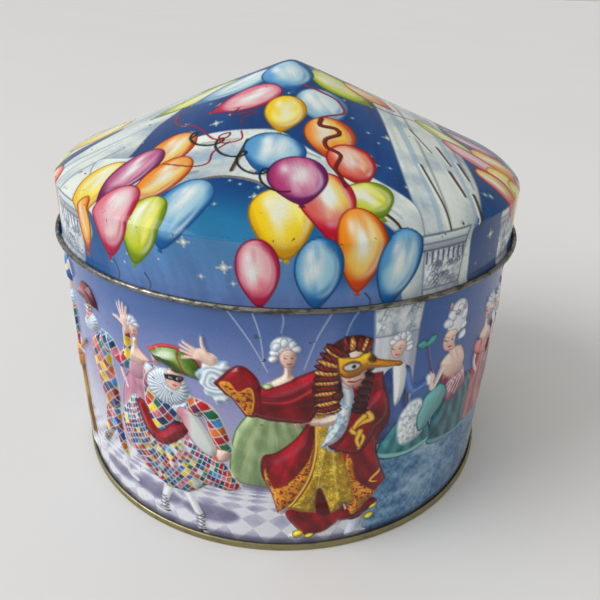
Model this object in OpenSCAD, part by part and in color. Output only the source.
// Round cookie tin of thin tinplate, with a low conical lid that lifts straight off.
//
// Three pressed pieces make it: a drawn lid, flared and curled outwards at its lower edge,
// a rolled body wall with a lock seam up the back and an inward curl at its mouth,
// and a recessed base that is double-seamed on to the foot of the wall.
// The origin is the middle of the foot, +Z is up and the printed front faces -Y.

/* [Overall size] */
// Radius over the curl at the lid's lower edge, the widest place
curl_outer_r = 78; // [60:1:110]
// Height of the lid's peak above the surface that the tin stands on
peak_h = 134.3; // [126:0.1:150]
// Height of the underside of the lid's curl
curl_foot_h = 83.6; // [60:0.1:90]

/* [Tinplate] */
// Thickness of the sheet
sheet = 0.3; // [0.24:0.02:0.4]
// Clearance all round between the lid and the body
slip = 0.4; // [0.3:0.05:0.8]

/* [Lid] */
// Radius of the section of the curl
curl_roll_r = 0.8; // [0.7:0.05:1.1]
// Radius of the skirt's flare above the curl
flare_r = 3.5; // [2:0.1:4]
// Rise of the cone for each millimetre towards the middle
cone_slope = 0.41; // [0.36:0.01:0.46]
// Bluntness of the peak: how soon the cone turns over into its tip
peak_blunt = 2; // [1:0.5:6]
// How far the cone has dropped away by its outer edge
crown_drop = 2.4; // [1:0.1:3]
// Width of the outer band in which the cone turns down
crown_w = 10; // [6:0.5:16]
// Radius of the edge between the cone and the skirt
edge_r = 1.6; // [1:0.1:2.4]

/* [Body] */
// Height of the body's mouth inside the lid
mouth_h = 101.4; // [96:0.1:101.6]
// Radius of the section of the inward curl at the mouth
mouth_roll_r = 0.75; // [0.6:0.05:1]
// Width of the lock seam up the back
seam_w = 6; // [4:0.5:9]

/* [Base] */
// Height of the double seam round the foot
rim_h = 2.4; // [2.2:0.1:3.6]
// Clearance between the folded layers of the double seam
fold_gap = 0.06; // [0.02:0.01:0.1]
// Height of the base panel's underside above the surface
panel_h = 3; // [2:0.1:4]
// Depth of the shallow stiffening step in the base panel
panel_step = 0.5; // [0.3:0.1:0.8]

/* [Hidden] */

// Facets round a whole turn, and the angle between points on a section's arcs
$fn = 180;
arc_step = 15;

// Radii that follow from the curl outwards in
skirt_in_r = curl_outer_r - curl_roll_r * (1 + cos(45)) - flare_r * (1 - cos(45));
skirt_r = skirt_in_r + sheet;
wall_r = skirt_in_r - slip;
wall_in_r = wall_r - sheet;

// The centres of the curl and of the flare, which meet at 45 degrees
curl_c = [curl_outer_r - curl_roll_r, curl_foot_h + curl_roll_r];
flare_c = curl_c + (flare_r - curl_roll_r) * [cos(45), sin(45)];
curl_end_deg = 145;
// The centre of the edge between cone and skirt, which ends at 45 degrees
edge_c_r = skirt_r - edge_r;
cone_end_r = edge_c_r + edge_r * cos(45);
edge_c = [edge_c_r, cone_z(cone_end_r) - edge_r * sin(45)];
cone_points = 36;

// The layers of the double seam, from the inside out
hook_gap = sheet + fold_gap;
chuck_r = wall_in_r - fold_gap - sheet;
cover_hook_r = wall_r + fold_gap;
body_hook_r = cover_hook_r + hook_gap;
rim_in_r = body_hook_r + hook_gap;
rim_r = rim_in_r + sheet;
fold_out_r = (rim_r - cover_hook_r) / 2;
fold_in_r = fold_out_r - sheet;
fold_corner = 0.15;
foot_corner = 0.4;

lid_colour = [0.24, 0.4, 0.68];
body_colour = [0.62, 0.64, 0.84];
base_colour = [0.72, 0.58, 0.25];

// Points on an arc about c, from angle a to angle b
function arc(c, r, a, b) =
    let (n = max(1, ceil(abs(b - a) / arc_step)))
    [for (i = [0:n]) c + r * [cos(a + (b - a) * i / n), sin(a + (b - a) * i / n)]];

// Distance past the start of the outer band, as a fraction of its width
function crown_part(r) = max(0, (r - skirt_r + crown_w) / crown_w);

// Height of the cone's outer surface at radius r
function cone_z(r) =
    peak_h - cone_slope * (sqrt(r * r + peak_blunt * peak_blunt) - peak_blunt)
    - crown_drop * pow(crown_part(r), 3);

// Steepness of the cone at radius r
function cone_steep(r) =
    cone_slope * r / sqrt(r * r + peak_blunt * peak_blunt)
    + 3 * crown_drop / crown_w * pow(crown_part(r), 2);

// Height of the cone's inner surface at radius r
function cone_in_z(r) = cone_z(r) - sheet * sqrt(1 + pow(cone_steep(r), 2));

// Points along the cone, closer together near the peak and the edge
function cone_r(i, end_r) = end_r * (1 - cos(180 * i / cone_points)) / 2;

module lid() {
    in_end_r = edge_c_r + (edge_r - sheet) * cos(45);
    outside = [for (i = [0:cone_points]) let (r = cone_r(i, cone_end_r)) [r, cone_z(r)]];
    inside = [for (i = [cone_points - 1:-1:0]) let (r = cone_r(i, in_end_r)) [r, cone_in_z(r)]];
    color(lid_colour)
    rotate_extrude()
    polygon(concat(
        outside,
        arc(edge_c, edge_r, 30, 0),
        arc(flare_c, flare_r - sheet, 180, 225),
        arc(curl_c, curl_roll_r - sheet, 240, 360 + curl_end_deg),
        arc(curl_c, curl_roll_r, 360 + curl_end_deg, 240),
        arc(flare_c, flare_r, 225, 180),
        arc(edge_c, edge_r - sheet, 0, 45),
        inside));
}

// Section of the rolled wall: mouth curl, straight wall and the hook of the double seam
module wall_section() {
    mouth_c = [wall_r - mouth_roll_r, mouth_h - mouth_roll_r];
    mouth_end_deg = 290;
    hook_top = rim_h - fold_out_r - fold_corner;
    hook_out_r = body_hook_r + sheet;
    polygon(concat(
        arc(mouth_c, mouth_roll_r, 0, mouth_end_deg),
        arc(mouth_c, mouth_roll_r - sheet, mouth_end_deg, 0),
        [[wall_in_r, sheet + fold_corner],
         [wall_in_r + fold_corner, sheet],
         [hook_out_r - fold_corner, sheet],
         [hook_out_r, sheet + fold_corner],
         [hook_out_r, hook_top],
         [body_hook_r, hook_top],
         [body_hook_r, 2 * sheet],
         [wall_r, 2 * sheet]]));
}

// The folded layers of the lock seam stand inside the wall, clear of both curled ends
module lock_seam() {
    seam_foot = panel_h + 2 * sheet;
    seam_h = mouth_h - 2 * mouth_roll_r - sheet - seam_foot;
    translate([0, 0, seam_foot])
    intersection() {
        difference() {
            cylinder(h = seam_h, r = wall_in_r + sheet / 3);
            translate([0, 0, -1]) cylinder(h = seam_h + 2, r = wall_in_r - 2 * sheet);
        }
        translate([-seam_w / 2, 0, -1]) cube([seam_w, curl_outer_r, seam_h + 2]);
    }
}

module body_wall() {
    groove_w = 0.5;
    groove_foot = rim_h + 1;
    color(body_colour)
    difference() {
        union() {
            rotate_extrude() wall_section();
            lock_seam();
        }
        translate([seam_w / 2 - 1.5 * groove_w, wall_in_r + sheet / 2, groove_foot])
            cube([groove_w, curl_outer_r, mouth_h - 2 * mouth_roll_r - 1 - groove_foot]);
    }
}

// The base runs out as a panel, down inside the wall, under it, up outside and back
// down between the wall and its hook
module base() {
    panel_r = chuck_r - 2;
    step_r = panel_r - 6;
    top_c = [cover_hook_r + fold_out_r, rim_h - fold_out_r];
    cover_end = sheet + 3 * fold_gap + sheet;
    color(base_colour)
    rotate_extrude()
    polygon(concat(
        [[0, panel_h + sheet - panel_step],
         [step_r, panel_h + sheet - panel_step],
         [step_r + panel_step, panel_h + sheet],
         [chuck_r + sheet - foot_corner, panel_h + sheet],
         [chuck_r + sheet, panel_h + sheet - foot_corner],
         [chuck_r + sheet, sheet],
         [rim_in_r, sheet]],
        arc(top_c, fold_in_r, 0, 180),
        [[cover_hook_r + sheet, cover_end],
         [cover_hook_r, cover_end]],
        arc(top_c, fold_out_r, 180, 0),
        arc([rim_r - foot_corner, foot_corner], foot_corner, 0, -90),
        arc([chuck_r + foot_corner, foot_corner], foot_corner, -90, -180),
        [[chuck_r, panel_h - foot_corner],
         [chuck_r - foot_corner, panel_h],
         [step_r + panel_step, panel_h],
         [step_r, panel_h - panel_step],
         [0, panel_h - panel_step]]));
}

lid();
body_wall();
base();
